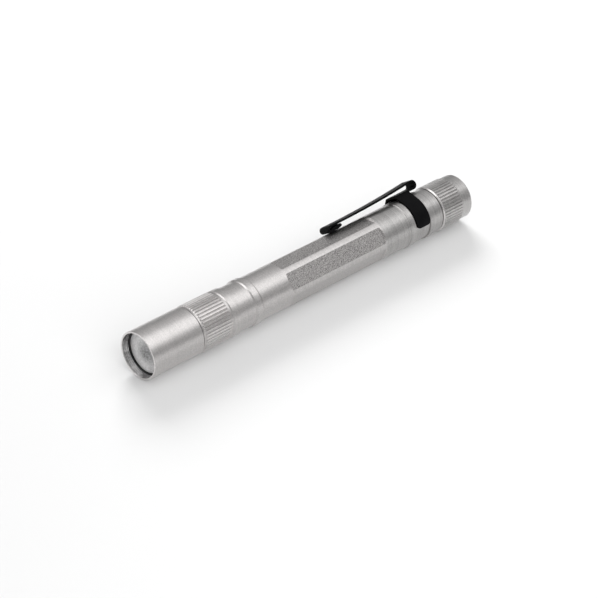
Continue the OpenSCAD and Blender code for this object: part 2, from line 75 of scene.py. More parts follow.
def softCorners(corners, steps=3, hold=0.12):
    # Each corner P of a closed outline of (u, r, reach) becomes a parabola from A to B,
    # the points at that reach before and after P: (1-s)^2 A + 2 s (1-s) P + s^2 B. One
    # more point, hold further out on either side, keeps the corner's shading off the
    # straight beyond it. None goes past the middle of a side. Gives a row of points
    # for each corner.
    mostReach, mostHold = 0.42, 0.49
    rows = np.array(corners, float)
    point, reach = rows[:, :2], rows[:, 2:3]
    before = np.roll(point, 1, axis=0) - point
    after = np.roll(point, -1, axis=0) - point
    lengthBefore = np.linalg.norm(before, axis=1, keepdims=True)
    lengthAfter = np.linalg.norm(after, axis=1, keepdims=True)
    back, on = before / lengthBefore, after / lengthAfter
    stepBack = np.minimum(reach, mostReach * lengthBefore)
    stepOn = np.minimum(reach, mostReach * lengthAfter)
    a = point + back * stepBack
    b = point + on * stepOn
    first = point + back * np.minimum(stepBack + hold, mostHold * lengthBefore)
    last = point + on * np.minimum(stepOn + hold, mostHold * lengthAfter)
    s = np.linspace(0, 1, steps)[None, :, None]
    curve = (1 - s) ** 2 * a[:, None] + 2 * s * (1 - s) * point[:, None] + s ** 2 * b[:, None]
    return np.concatenate([first[:, None], curve, last[:, None]], axis=1)


def gridFaces(rows, columns, closeRows, closeColumns, first=0):
    # Quads of a grid: (i, j), (i+1, j), (i+1, j+1), (i, j+1), wrapped where it closes.
    # Its points are numbered row by row from first.
    i = np.arange(rows if closeRows else rows - 1)[:, None]
    j = np.arange(columns if closeColumns else columns - 1)[None, :]
    nextI, nextJ = (i + 1) % rows, (j + 1) % columns
    corners = np.broadcast_arrays(i * columns + j, nextI * columns + j,
                                  nextI * columns + nextJ, i * columns + nextJ)
    return (np.stack(corners, axis=-1).reshape(-1, 4) + first).tolist()


def addPiece(name, points, faces, material, body, replaced, sharp=40, recalc=False):
    # Points that fall together at a pole are merged, and an edge that bends by more
    # than the sharp angle stays hard.
    mesh = bpy.data.meshes.new(name)
    mesh.from_pydata(points.reshape(-1, 3), [], faces)
    work = bmesh.new()
    work.from_mesh(mesh)
    bmesh.ops.remove_doubles(work, verts=work.verts, dist=1e-7)
    bmesh.ops.dissolve_degenerate(work, edges=work.edges, dist=1e-8)
    if recalc:
        bmesh.ops.recalc_face_normals(work, faces=work.faces)
    work.to_mesh(mesh)
    work.free()
    mesh.polygons.foreach_set("use_smooth", np.ones(len(mesh.polygons), bool))
    mesh.set_sharp_from_angle(angle=math.radians(sharp))
    piece = bpy.data.objects.new(name, mesh)
    bpy.context.scene.collection.objects.link(piece)
    mesh.materials.append(material)
    if body:
        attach(piece, body)
    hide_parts(*replaced)
    print("piece", name, len(mesh.polygons), "faces")
    return piece


def faceMiddles(piece):
    # u, distance from the axis and angle round it of each face's middle.
    middle = np.zeros(len(piece.data.polygons) * 3)
    piece.data.polygons.foreach_get("center", middle)
    x, y, z = middle.reshape(-1, 3).T
    y, z = y - axisY, z - axisZ
    return (x - frontX) * 1000, np.hypot(y, z) * 1000, np.arctan2(y, z)


def moreMaterials(piece, *pairs):
    # Each pair is a material and the faces that it covers, as true and false. A later
    # pair wins over an earlier one.
    index = np.zeros(len(piece.data.polygons), np.int32)
    for material, chosen in pairs:
        piece.data.materials.append(material)
        index[chosen] = len(piece.data.materials) - 1
    piece.data.polygons.foreach_set("material_index", index)


def turnedPiece(name, outline, around, closed, material, body, node, sharp=40,
                recalc=False):
    # An outline of (u, r) carried once round the axis in equal steps. An open one
    # starts and ends on the axis.
    angles = np.linspace(0, 2 * math.pi, around, endpoint=False)
    points = toRow(outline[:, :1], outline[:, 1:], angles)
    addPiece(name, points, gridFaces(len(outline), around, closed, True), material, body,
             [node], sharp, recalc)


# The fluting of the head and the tail cap. A flute's places round the circle, the
# offsets, and its land and floor are shares of the pitch.
flutes = {"count": 45, "landShare": 0.5, "floorShare": 0.12, "flankRound": 0.35,
          "offsets": [-0.42, -0.31, -0.27, -0.22, -0.14, -0.07, -0.03,
                      0.03, 0.07, 0.14, 0.22, 0.27, 0.31, 0.42]}


def fluteAngles(f):
    # The same few offsets repeated from the bottom round: pi + (number + offset) x pitch.
    pitch = 2 * math.pi / f["count"]
    middles = np.arange(f["count"])[:, None] * pitch + math.pi
    return (middles + np.array(f["offsets"])[None, :] * pitch).reshape(-1)


def fluteShape(f, angles):
    # 0 on a land and 1 on a groove's floor. Between them the flank is straight, mixed
    # with 3 flank^2 - 2 flank^3 by flankRound; t is the distance from the nearest
    # groove's middle as a share of the pitch.
    t = np.abs((angles * f["count"] / (2 * math.pi) - f["count"] / 2 + 0.5) % 1 - 0.5)
    landEdge, floorEdge = (1 - f["landShare"]) / 2, f["floorShare"] / 2
    flank = np.clip((landEdge - t) / (landEdge - floorEdge), 0, 1)
    rounded = flank * flank * (3 - 2 * flank)
    return rounded * f["flankRound"] + flank * (1 - f["flankRound"])


def flutedPiece(name, rows, material, body, node):
    # A closed outline of (u, r, reach) turned about the axis. A row in the flutes has
    # their floor's radius as well, and its own is r (1 - cut) + floor cut, with the cut
    # from fluteShape of the angle.
    land = [row[:3] for row in rows]
    floor = [(row[0], row[3] if len(row) > 3 else row[1], row[2]) for row in rows]
    outer = softCorners(land).reshape(-1, 2)
    inner = softCorners(floor).reshape(-1, 2)
    angles = fluteAngles(flutes)
    cut = fluteShape(flutes, angles)[None, :]
    u = outer[:, :1] * (1 - cut) + inner[:, :1] * cut
    r = outer[:, 1:] * (1 - cut) + inner[:, 1:] * cut
    return addPiece(name, toRow(u, r, angles), gridFaces(len(u), len(angles), True, True),
                    material, body, [node], sharp=32)


# Materials

def linearFromHex(text):
    # sRGB to linear: c/12.92 below 0.04045, else ((c+0.055)/1.055)^2.4.
    srgb = np.array([int(text[k:k + 2], 16) / 255 for k in (1, 3, 5)])
    linear = np.where(srgb <= 0.04045, srgb / 12.92, ((srgb + 0.055) / 1.055) ** 2.4)
    return (*linear.tolist(), 1.0)


def addNode(tree, kind, values=None, links=None, feeds=None, **settings):
    # A node with its settings, its own values, what it reads and what it feeds.
    node = tree.nodes.new(kind)
    for key, value in settings.items():
        setattr(node, key, value)
    for key, value in (values or {}).items():
        node.inputs[key].default_value = value
    for key, source in (links or {}).items():
        tree.links.new(source, node.inputs[key])
    for key, socket in (feeds or {}).items():
        tree.links.new(node.outputs[key], socket)
    return node


# Most of a noise lies in the middle of 0 to 1, and the maps stretch only that part. The
# roughness moves with it, from the first of its pair to the second.
swing = {"metal": [-0.04, 0.06], "plain": [-0.05, 0.08], "milky": [-0.04, 0.04]}
stretch = {"mixed": {"From Min": 0.34, "From Max": 0.66},
           "cloud": {"From Min": 0.3, "From Max": 0.7},
           "grain": {"From Min": 0.25, "From Max": 0.75}}


def newMaterial(name):
    # A Principled surface on its output, and the place in Object coordinates (metres).
    material = bpy.data.materials.new(name)
    material.use_nodes = True
    tree = material.node_tree
    tree.nodes.clear()
    surface = addNode(tree, "ShaderNodeBsdfPrincipled")
    addNode(tree, "ShaderNodeOutputMaterial", links={"Surface": surface.outputs["BSDF"]})
    place = addNode(tree, "ShaderNodeTexCoord").outputs["Object"]
    return material, tree, surface, place


# Clear anodised aluminium, bead blasted: a broad satin highlight and a salt and pepper
# grain, with the lathe's rings faint beneath. The blasted pits are about 0.1 mm really
# and the feed marks 0.08 mm, and both are drawn coarser, or they would not show.
blasted = {"dark": "#A7A5A4", "light": "#BFBCBB", "roughness": 0.34, "gritMm": 0.34,
           "gritMicrons": 12, "ringMm": 0.42, "ringMicrons": 5, "ringShare": 0.28}
# The recess is as the boring bar left it: glossier, with clear rings and hard contrast.
bored = {"dark": "#9C9B9B", "light": "#F0EFEF", "roughness": 0.08, "gritMm": 0.4,
         "gritMicrons": 4, "ringMm": 0.6, "ringMicrons": 60, "ringShare": 0.6}
# The rims were faced last, and shine a little more than the blasted skin.
faced = {"dark": "#B3B1B0", "light": "#D2CFCE", "roughness": 0.30, "gritMm": 0.3,
         "gritMicrons": 6, "ringMm": 0.4, "ringMicrons": 4, "ringShare": 0.2}
# Behind the flats and on the tail cap the rings are clearer, from a coarser feed, and the
# colour is darker: painted shade for the light that falls off towards the tail.
ringedShaded = {"dark": "#929190", "light": "#B4B2B1", "roughness": 0.34, "gritMm": 0.30,
          "gritMicrons": 12, "ringMm": 0.34, "ringMicrons": 7, "ringShare": 0.42}
# The flats were milled before blasting: no rings, and the most contrasted grain.
milled = {"dark": "#6D6B6A", "light": "#CFCCCB", "roughness": 0.38, "gritMm": 0.22,
          "gritMicrons": 12, "ringMm": 0.6, "ringMicrons": 0, "ringShare": 0}
# The three flats below the middle: a lighter, even face with hardly any grain, which is
# painted light for the bright floor that they mirror.
milledFloorLight = {"dark": "#A09E9D", "light": "#B9B6B5", "roughness": 0.38, "gritMm": 0.3,
              "gritMicrons": 10, "ringMm": 0.6, "ringMicrons": 0, "ringShare": 0}


def anodisedAluminium(name, look):
    # Colour goes from dark to light with grit (1 - ringShare) + rings ringShare, the
    # roughness swings with the grit, and both stand up as bump. The rings are noise
    # that is drawn out across the axis.
    drawnOut = 100
    material, tree, surface, place = newMaterial(name)
    surface.inputs["Metallic"].default_value = 1.0
    grit = addNode(tree, "ShaderNodeTexNoise", links={"Vector": place},
                   values={"Scale": 1000 / look["gritMm"], "Detail": 1.5, "Roughness": 0.6})
    turned = addNode(tree, "ShaderNodeMapping", links={"Vector": place},
                     values={"Scale": (1, 1 / drawnOut, 1 / drawnOut)})
    rings = addNode(tree, "ShaderNodeTexNoise", links={"Vector": turned.outputs["Vector"]},
                    values={"Scale": 1000 / look["ringMm"], "Detail": 1.0})
    mixed = addNode(tree, "ShaderNodeMix", values={0: look["ringShare"]},
                    links={2: grit.outputs["Fac"], 3: rings.outputs["Fac"]})
    amount = addNode(tree, "ShaderNodeMapRange", links={"Value": mixed.outputs[0]},
                     values=stretch["mixed"])
    addNode(tree, "ShaderNodeMix", data_type="RGBA",
            values={6: linearFromHex(look["dark"]), 7: linearFromHex(look["light"])},
            links={0: amount.outputs["Result"]}, feeds={2: surface.inputs["Base Color"]})
    addNode(tree, "ShaderNodeMapRange", links={"Value": grit.outputs["Fac"]},
            values={**stretch["grain"], "To Min": look["roughness"] + swing["metal"][0],
                    "To Max": look["roughness"] + swing["metal"][1]},
            feeds={0: surface.inputs["Roughness"]})
    lathe = addNode(tree, "ShaderNodeBump", links={"Height": rings.outputs["Fac"]},
                    values={"Strength": 1.0, "Distance": look["ringMicrons"] / 1e6})
    addNode(tree, "ShaderNodeBump", feeds={0: surface.inputs["Normal"]},
            links={"Height": grit.outputs["Fac"], "Normal": lathe.outputs["Normal"]},
            values={"Strength": 1.0, "Distance": look["gritMicrons"] / 1e6})
    return material


def plainSurface(name, dark, light, roughness, grainMm, grainMicrons, metallic=0.0,
                 coat=0.0, specular=0.5):
    # Any moulded, pressed or coated surface: its colour drifts from dark to light in
    # clouds of twelve grains, and the grain itself is in the gloss and the bump. Real
    # grain is finer than 0.1 mm, and is drawn at the size given, or it would not show.
    cloudGrains = 12
    material, tree, surface, place = newMaterial(name)
    surface.inputs["Metallic"].default_value = metallic
    surface.inputs["Coat Weight"].default_value = coat
    surface.inputs["Specular IOR Level"].default_value = specular
    grain = addNode(tree, "ShaderNodeTexNoise", links={"Vector": place},
                    values={"Scale": 1000 / grainMm, "Detail": 3.0, "Roughness": 0.6})
    cloud = addNode(tree, "ShaderNodeTexNoise", links={"Vector": place},
                    values={"Scale": 1000 / (grainMm * cloudGrains), "Detail": 2.0})
    amount = addNode(tree, "ShaderNodeMapRange", links={"Value": cloud.outputs["Fac"]},
                     values=stretch["cloud"])
    addNode(tree, "ShaderNodeMix", data_type="RGBA",
            values={6: linearFromHex(dark), 7: linearFromHex(light)},
            links={0: amount.outputs["Result"]}, feeds={2: surface.inputs["Base Color"]})
    addNode(tree, "ShaderNodeMapRange", links={"Value": grain.outputs["Fac"]},
            values={**stretch["grain"], "To Min": roughness + swing["plain"][0],
                    "To Max": roughness + swing["plain"][1]},
            feeds={0: surface.inputs["Roughness"]})
    addNode(tree, "ShaderNodeBump", links={"Height": grain.outputs["Fac"]},
            values={"Strength": 1.0, "Distance": grainMicrons / 1e6},
            feeds={0: surface.inputs["Normal"]})
    return material


# Moulded milky acrylic: mostly a pale, faintly clouded haze, with painted shade beside
# the middle for the dark throat of the cup seen through it. The painted shade sits above
# the middle, so the lens is painted lighter towards its bottom.
milky = {"dark": "#636363", "light": "#ECEBEB", "transmission": 0.12, "roughness": 0.24,
         "ior": 1.49, "cloudMm": 0.5, "cloudShare": 0.35, "paintedShadeIn": 0.6,
         "paintedShadeOut": 5.0, "paintedShadeSide": -1.7, "paintedShadeUp": 0.9}


def milkyAcrylic(name, look):
    # Colour goes from dark to light with ramp (1 - cloudShare) + cloud cloudShare, the
    # ramp that of the distance from the painted shade's middle, and the roughness goes
    # with the cloud.
    material, tree, surface, place = newMaterial(name)
    cloud = addNode(tree, "ShaderNodeTexNoise", links={"Vector": place},
                    values={"Scale": 1000 / look["cloudMm"], "Detail": 3.0})
    spread = addNode(tree, "ShaderNodeMapRange", links={"Value": cloud.outputs["Fac"]},
                     values=stretch["cloud"])
    facing = addNode(tree, "ShaderNodeVectorMath", operation="MULTIPLY", links={0: place},
                     values={1: (0, 1, 1)})
    # The middle of the painted shade: beside the lens's middle and above it.
    middle = (0, axisY + look["paintedShadeSide"] / 1000, axisZ + look["paintedShadeUp"] / 1000)
    away = addNode(tree, "ShaderNodeVectorMath", operation="DISTANCE",
                   links={0: facing.outputs[0]}, values={1: middle})
    ramp = addNode(tree, "ShaderNodeMapRange", interpolation_type="SMOOTHSTEP",
                   links={"Value": away.outputs["Value"]},
                   values={"From Min": look["paintedShadeIn"] / 1000,
                           "From Max": look["paintedShadeOut"] / 1000})
    amount = addNode(tree, "ShaderNodeMix", values={0: look["cloudShare"]},
                     links={2: ramp.outputs["Result"], 3: spread.outputs["Result"]})
    addNode(tree, "ShaderNodeMix", data_type="RGBA",
            values={6: linearFromHex(look["dark"]), 7: linearFromHex(look["light"])},
            links={0: amount.outputs[0]}, feeds={2: surface.inputs["Base Color"]})
    addNode(tree, "ShaderNodeMapRange", links={"Value": cloud.outputs["Fac"]},
            values={"To Min": look["roughness"] + swing["milky"][0],
                    "To Max": look["roughness"] + swing["milky"][1]},
            feeds={0: surface.inputs["Roughness"]})
    surface.inputs["Transmission Weight"].default_value = look["transmission"]
    surface.inputs["IOR"].default_value = look["ior"]
    return material


aluminium = anodisedAluminium("anodised_aluminium_blasted", blasted)
boredAluminium = anodisedAluminium("anodised_aluminium_bored", bored)
facedAluminium = anodisedAluminium("anodised_aluminium_faced", faced)
ringedShadedAluminium = anodisedAluminium("anodised_aluminium_coarse_turned_painted_shade", ringedShaded)
milledAluminium = anodisedAluminium("anodised_aluminium_milled", milled)
floorLitAluminium = anodisedAluminium("anodised_aluminium_milled_painted_floor_light", milledFloorLight)
lensAcrylic = milkyAcrylic("acrylic_milky_moulded", milky)
# A dull, even black that hardly mirrors anything.
blackOxide = plainSurface("spring_steel_black_oxide", "#050506", "#0A0A0B", 0.52, 0.3, 5,
                          specular=0.05)
# Black with a soft gloss.
blackPlastic = plainSurface("nylon_black_moulded", "#0E0E0F", "#151516", 0.45, 0.2, 3,
                            specular=0.4)
# Dull charcoal black, a little dusty.
blackRubber = plainSurface("nitrile_rubber_black", "#141414", "#1E1E1E", 0.62, 0.2, 6)
# Black with a skin's half gloss and a fine leather grain.
buttonRubber = plainSurface("silicone_rubber_black", "#1B1B1D", "#262628", 0.55, 0.3, 8)
# Warm yellow metal with a soft, clean highlight.
brass = plainSurface("brass_turned", "#B08D4C", "#C6A562", 0.28, 0.3, 3, metallic=1.0)
# Clean white with a half gloss.
whiteBoard = plainSurface("aluminium_board_white_mask", "#DCDCD8", "#EAEAE6", 0.35, 0.4, 3)
# Deep green and glossy.
greenBoard = plainSurface("glass_epoxy_green_mask", "#0F4A2A", "#185C36", 0.3, 0.4, 3)
# A wet, strong yellow.
phosphor = plainSurface("silicone_over_phosphor", "#D9B63A", "#E6C650", 0.18, 0.5, 2,
                        coat=0.5)
# Even white, neither dull nor glossy.
whitePlastic = plainSurface("polycarbonate_white_moulded", "#DEDEDB", "#E9E9E6", 0.4, 0.3, 3)
# Dark red with a waxy gloss.
wireRed = plainSurface("pvc_wire_red", "#8C1A16", "#A3231D", 0.4, 0.3, 3)
# Dull charcoal, like a chip's body.
darkParts = plainSurface("epoxy_moulded_dark", "#1A1A1B", "#29292A", 0.5, 0.3, 4)
# Blue film under a clear, shiny skin.
cellWrap = plainSurface("shrink_film_blue", "#24406E", "#2C4B7E", 0.3, 0.8, 3, coat=0.3)
# Ivory and waxy.
ivoryPlastic = plainSurface("acetal_ivory_moulded", "#D3CDB9", "#DFDAC8", 0.4, 0.3, 3)
# A bright mirror, barely clouded.
polished = plainSurface("aluminium_mirror_polished", "#DCDDDE", "#E6E6E7", 0.12, 0.5, 1,
                        metallic=1.0)
# Pale grey metal with a quick highlight.
springWire = plainSurface("spring_wire_nickel_plated", "#A9A9A8", "#BBBBBA", 0.25, 0.2, 2,
                          metallic=1.0)
print("materials made")


# Head

head = {"radius": 7.25, "land": 7.32, "fluteDepth": 0.33, "grooveDepth": 0.30,
        "bandStart": 18.1, "bandEnd": 29.9, "endGroove": 0.9, "fluteRamp": 0.28,
        "fluteStop": 0.06, "bandBevel": 0.15, "notch": 0.38, "notchDepth": 0.46,
        "notchWall": [-0.03, 0.02], "notchRise": 0.04, "length": 32.6, "rearRound": 0.1,
        "rimRound": 0.06, "rimFace": 0.05, "recess": 6.72, "lipFront": 4.8, "lipBack": 5.4,
        "lip": 5.8, "socket": 6.3, "markStart": 2.1, "markEnd": 0.4, "markPitch": 0.45,
        "markFace": 0.15, "markDepth": 0.08}


def headSleeve(h):
    # A closed outline with flutes in its band. A parting tool's notch is the dark line
    # in front of the band, and the boring tool's marks are a saw's teeth in the recess:
    # each rises markDepth over markFace and falls over the rest of markPitch.
    groove = h["radius"] - h["grooveDepth"]
    notchFloor = groove - h["notchDepth"]
    notchBack = h["bandStart"] + h["notch"]
    fluteFloor = h["land"] - h["fluteDepth"]
    front, back = h["bandStart"] + h["endGroove"], h["bandEnd"] - h["endGroove"]
    marks = []
    for u in np.arange(h["markStart"], h["markEnd"], -h["markPitch"]):
        marks.append((u, h["recess"], 0.03))
        marks.append((u - h["markFace"], h["recess"] + h["markDepth"], 0.03))
    rows = [(0, h["recess"] + h["rimRound"], 0.02),
            (0, h["radius"] - h["rimRound"], 0.03),
            (h["rimRound"], h["radius"], 0.04),
            (h["bandStart"] + h["notchWall"][0], h["radius"], 0.02),
            (h["bandStart"] + h["notchWall"][1], notchFloor, 0.02),
            (notchBack, notchFloor, 0.02),
            (notchBack + h["notchRise"], groove, 0.03), (front, groove, 0.03),
            (front + h["fluteRamp"], h["land"], 0.05, fluteFloor),
            (back - h["fluteStop"], h["land"], 0.05, fluteFloor),
            (back, groove, 0.04), (h["bandEnd"] - h["bandBevel"], groove, 0.04),
            (h["bandEnd"] + h["bandBevel"], h["radius"], 0.04),
            (h["length"] - h["rearRound"], h["radius"], 0.05),
            (h["length"], h["radius"] - h["rearRound"], 0.03),
            (h["length"], h["socket"], 0.05),
            (h["lipBack"], h["socket"], 0.03), (h["lipBack"], h["lip"], 0.03),
            (h["lipFront"], h["lip"], 0.03), (h["lipFront"], h["recess"], 0.03),
            *marks, (h["rimRound"], h["recess"], 0.02)]
    piece = flutedPiece("head_sleeve_turned", rows, aluminium, "head", "head_sleeve")
    u, out = faceMiddles(piece)[:2]
    onRim = u < h["rimFace"]
    inRecess = out < h["recess"] + h["markDepth"] + hair
    moreMaterials(piece, (facedAluminium, onRim), (boredAluminium, inRecess & ~onRim))


headSleeve(head)

lensRing = {"front": 2.3, "back": 3.1, "outer": 6.67, "inner": 6.34, "chamfer": 0.1,
            "outerChamfer": 0.08, "around": 128}


def lensRingMoulded(c):
    # A flat ring with a chamfer on either edge of its front.
    corners = [(c["front"], c["inner"] + c["chamfer"], 0.05),
               (c["front"], c["outer"] - c["outerChamfer"], 0.06),
               (c["front"] + c["outerChamfer"], c["outer"], 0.05),
               (c["back"], c["outer"], 0.03), (c["back"], c["inner"], 0.03),
               (c["front"] + c["chamfer"], c["inner"], 0.05)]
    turnedPiece("lens_ring_moulded", softCorners(corners).reshape(-1, 2), c["around"], True,
                blackPlastic, "head", "lens_ring", sharp=35)


lensRingMoulded(lensRing)

lens = {"edgeFront": 3.1, "edgeBack": 4.4, "edgeRadius": 6.62, "edgeBevel": 0.05,
        "domeRadius": 6.26, "domeBase": 2.65, "domeHeight": 1.35, "neckStep": [0.03, 0.02],
        "backRing": 3.0, "rings": 40, "around": 128}


def lensBody(c):
    # A ball's cap on a short neck. Ball radius b = (r^2 + h^2) / 2h, and the cap at
    # radius q stands h - b + sqrt(b^2 - q^2) above the neck.
    ball = (c["domeRadius"] ** 2 + c["domeHeight"] ** 2) / (2 * c["domeHeight"])
    q = c["domeRadius"] * np.sin(np.linspace(0, math.pi / 2, c["rings"]))
    rise = c["domeHeight"] - ball + np.sqrt(ball * ball - q * q)
    neck = c["domeRadius"] + c["neckStep"][1]
    edge = np.array([[c["domeBase"] + c["neckStep"][0], neck], [c["edgeFront"], neck],
                     [c["edgeFront"], c["edgeRadius"] - c["edgeBevel"]],
                     [c["edgeFront"] + c["edgeBevel"], c["edgeRadius"]],
                     [c["edgeBack"] - c["edgeBevel"], c["edgeRadius"]],
                     [c["edgeBack"], c["edgeRadius"] - c["edgeBevel"]],
                     [c["edgeBack"], c["backRing"]], [c["edgeBack"], 0.0]])
    outline = np.vstack([np.stack([c["domeBase"] - rise, q], axis=1), edge])
    turnedPiece("lens_moulded", outline, c["around"], False, lensAcrylic, "head_optics",
                "lens", sharp=30)


lensBody(lens)

reflector = {"front": 5.4, "length": 7.1, "mouth": 5.7, "throat": 1.5, "outer": 6.2,
             "back": 3.64, "waist": 0.35, "rings": 36, "around": 128}


def reflectorCup(c):
    # Inner wall: radius = throat + (mouth - throat) sqrt(t), t from 0 at the back to 1.
    # Its rows are spaced as a square, close together at the throat.
    t = np.linspace(0, 1, c["rings"]) ** 2
    wall = np.stack([c["front"] + c["length"] * (1 - t),
                     c["throat"] + (c["mouth"] - c["throat"]) * np.sqrt(t)], axis=1)
    outside = np.array([[c["front"], c["outer"]],
                        [c["front"] + c["length"] * c["waist"], c["outer"]],
                        [c["front"] + c["length"], c["back"]]])
    turnedPiece("reflector_cup", np.vstack([wall, outside]), c["around"], True, polished,
                "head", "reflector", sharp=30, recalc=True)


reflectorCup(reflector)
print("head done")


# Tube

# Rows at barrelRow and rearStart keep the shading of the plain barrel straight, and
# edgeDegrees are the places of extra points beside each edge of a flat.
tube = {"front": 15.5, "end": 119.5, "bore": 5.35, "spigot": 6.2, "body": 6.85,
        "neckStart": 32.6, "neckGap": 0.12, "collarStart": 38.2, "collarEnd": 40.8,
        "collar": 7.2, "collarChamfer": 0.35, "collarRound": 0.1, "undercut": 0.16,
        "undercutEnds": [0.02, 0.22, 0.28], "barrelRow": 46, "rearStart": 95,
        "flats": 6, "flatStart": 52.2, "flatEnd": 90.2, "flatCut": 0.53, "flatRamp": 0.5,
        "flatRoll": 4.5, "flatSoft": 0.012, "rampRows": 5, "flatRows": 22,
        "clipCollarStart": 100.2, "clipCollarRise": 0.2, "clipCollar": 7.05,
        "grooveStart": 102.4, "grooveEnd": 108.3, "grooveFloor": 6.7, "grooveRound": 0.06,
        "waistStart": 110.5, "waistRound": 0.12, "waist": 6.73, "waistEnd": 113.64,
        "threadLow": 5.9, "frontThread": [24.15, 30.9], "rearThread": [115.7, 119.45],
        "threadRunOut": 0.25, "pitch": 0.75, "threadDepth": 0.3, "crestShare": 0.175,
        "flankShare": 0.25, "threadFade": 0.6, "rowsPerPitch": 8, "frontRing": [31.4, 32.1],
        "rearRing": [114.5, 115.2], "ringFloor": 5.7, "stepDegrees": 2.5,
        "edgeDegrees": [-1.2, -0.5, 0, 0.5, 1.2]}


def levelRows(u, r):
    # Rows of (u, r) that all have the same r.
    return np.stack([u, np.full(len(u), r)], axis=1)


def tubeRows(t):
    # The tube's turned profile as one closed outline: out over the front screw end, the
    # neck and the collar, along the flats, back over the clip's groove, the waist and
    # the rear screw end. The corners at the ends of each part only give the next one its
    # direction, and are cut off again.
    land, body, low = t["spigot"], t["body"], t["threadLow"]
    bottom = body - t["undercut"]
    chamfer, ledge = t["collarChamfer"], t["grooveRound"]
    neck = t["neckStart"] + t["neckGap"]
    collarStart, collarEnd, waistStart = t["collarStart"], t["collarEnd"], t["waistStart"]
    frontRing, rearRing = t["frontRing"], t["rearRing"]
    frontEnd = [(t["end"], t["bore"], 0.01), (t["front"], t["bore"], 0.03),
                (t["front"], low, 0.05), (t["frontThread"][0] - 2 * hair, low, 0.02),
                (t["frontThread"][1] + 2 * hair, low, 0.02),
                (t["frontThread"][1] + t["threadRunOut"], land, 0.05),
                (frontRing[0], land, 0.04), (frontRing[0], t["ringFloor"], 0.04),
                (frontRing[1], t["ringFloor"], 0.04), (frontRing[1], land, 0.04),
                (neck, land, 0.02), (neck, body - t["neckGap"], 0.03),
                (neck + t["neckGap"], body, 0.05), (collarStart, body, 0.03),
                (collarStart + 2 * hair, t["collar"] - chamfer + 2 * hair, 0.03),
                (collarStart + chamfer, t["collar"], 0.05),
                (collarEnd - t["collarRound"], t["collar"], 0.05),
                (collarEnd, t["collar"] - t["collarRound"], 0.04),
                (collarEnd + t["undercutEnds"][0], bottom, 0.03),
                (collarEnd + t["undercutEnds"][1], bottom, 0.03),
                (collarEnd + t["undercutEnds"][2], body, 0.03),
                (t["flatStart"], body, 0.01)]
    rearEnd = [(t["flatEnd"], body, 0.01), (t["rearStart"], body, 0.1),
               (t["clipCollarStart"], body, 0.05),
               (t["clipCollarStart"] + t["clipCollarRise"], t["clipCollar"], 0.06),
               (t["grooveStart"] - ledge, t["clipCollar"], 0.04),
               (t["grooveStart"], t["clipCollar"] - ledge, 0.03),
               (t["grooveStart"], t["grooveFloor"], 0.04),
               (t["grooveEnd"], t["grooveFloor"], 0.04),
               (t["grooveEnd"], t["clipCollar"] - ledge, 0.03),
               (t["grooveEnd"] + ledge, t["clipCollar"], 0.04),
               (waistStart - t["waistRound"], t["clipCollar"], 0.05),
               (waistStart, t["clipCollar"] - t["waistRound"], 0.04),
               (waistStart + 2 * hair, t["waist"], 0.04),
               (t["waistEnd"], t["waist"], 0.04), (t["waistEnd"], land, 0.03),
               (rearRing[0], land, 0.04), (rearRing[0], t["ringFloor"], 0.04),
               (rearRing[1], t["ringFloor"], 0.04), (rearRing[1], land, 0.04),
               (t["rearThread"][0] - t["threadRunOut"], land, 0.05),
               (t["rearThread"][0] - 2 * hair, low, 0.02),
               (t["rearThread"][1] + hair, low, 0.02), (t["end"], low, 0.02),
               (t["end"], t["bore"], 0.03),
               (t["front"], t["bore"], 0.01)]
    # Each thread's rows go in between the two corners at its ends.
    toThread, fromThread = np.split(softCorners(frontEnd)[1:-1], [3])
    toRearThread, last = np.split(softCorners(rearEnd)[1:-1], [-3])
    spacing = t["pitch"] / t["rowsPerPitch"]
    ramp = t["flatRamp"] * np.linspace(0, 1, t["rampRows"])
    along = np.concatenate([[t["barrelRow"], t["flatStart"] - 2 * hair, t["flatStart"] - hair],
                            t["flatStart"] + ramp,
                            np.linspace(t["flatStart"], t["flatEnd"], t["flatRows"])[1:-1],
                            t["flatEnd"] - ramp[::-1], [t["flatEnd"] + hair]])
    return np.vstack([toThread.reshape(-1, 2),
                      levelRows(np.arange(*t["frontThread"], spacing), low),
                      fromThread.reshape(-1, 2), levelRows(along, body),
                      toRearThread.reshape(-1, 2),
                      levelRows(np.arange(*t["rearThread"], spacing), low),
                      last.reshape(-1, 2)])


def tubeAngles(t):
    # Even steps all round, with a few more on either side of each flat's edges. Half a
    # flat spans acos((body - flatCut) / body).
    half = math.acos((t["body"] - t["flatCut"]) / t["body"])
    middles = np.radians(t["flatRoll"] + 360 / t["flats"] * np.arange(t["flats"]))
    edges = (middles[:, None] + np.array([-half, half])).reshape(-1, 1)
    near = (edges + np.radians(t["edgeDegrees"])).reshape(-1)
    even = np.radians(np.arange(0, 360, t["stepDegrees"]))
    return np.unique(np.round(np.concatenate([even, near]) % (2 * math.pi), 5))


